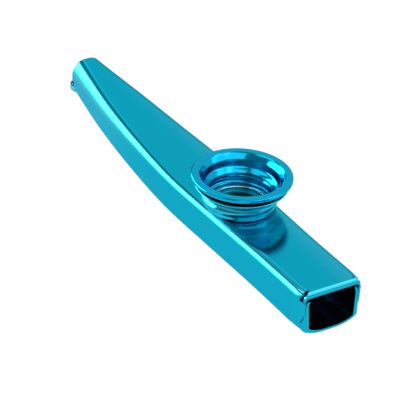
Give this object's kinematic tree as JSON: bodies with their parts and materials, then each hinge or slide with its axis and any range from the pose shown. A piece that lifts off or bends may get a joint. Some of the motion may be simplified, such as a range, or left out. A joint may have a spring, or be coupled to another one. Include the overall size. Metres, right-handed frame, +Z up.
{
  "type": "kazoo",
  "caption": "Tapered sheet-metal kazoo: two nested body shells, a threaded turret neck and a flanged screw cap that clamps a membrane.",
  "frame": {"origin": "centre of the bounding box's bottom face: middle of the length, on the plane of symmetry, at the level of the keel that it rests on", "axes": "+X along the body towards the wide mouth end, +Y to the side, +Z up through the turret"},
  "size_m": [0.12, 0.0256, 0.0218],
  "materials": {
    "shell_blue": "satin anodised turquoise",
    "turret_blue": "bright polished anodised turquoise blue",
    "film": "thin clear plastic film",
    "ring": "satin anodised turquoise"
  },
  "bodies": {
    "body": {"upper_shell": "shell_blue", "lower_shell": "shell_blue", "turret_neck": "turret_blue"},
    "membrane": {"membrane_film": "film", "membrane_ring": "ring"},
    "cap": {"screw_cap": "turret_blue"}
  },
  "joints": [
    {"name": "cap_lift", "type": "slide", "parent": "body", "child": "membrane", "axis": [0, 0, 1], "range_m": [0, 0.00511]},
    {"name": "cap_turn", "type": "hinge", "parent": "membrane", "child": "cap", "pos_m": [0.019, 0, 0.018], "axis": [0, 0, 1], "range_deg": [0, 540]}
  ],
  "couplings": [
    {"joint": "cap_lift", "follows": "cap_turn", "m_per_rad": 0.00054113}
  ]
}
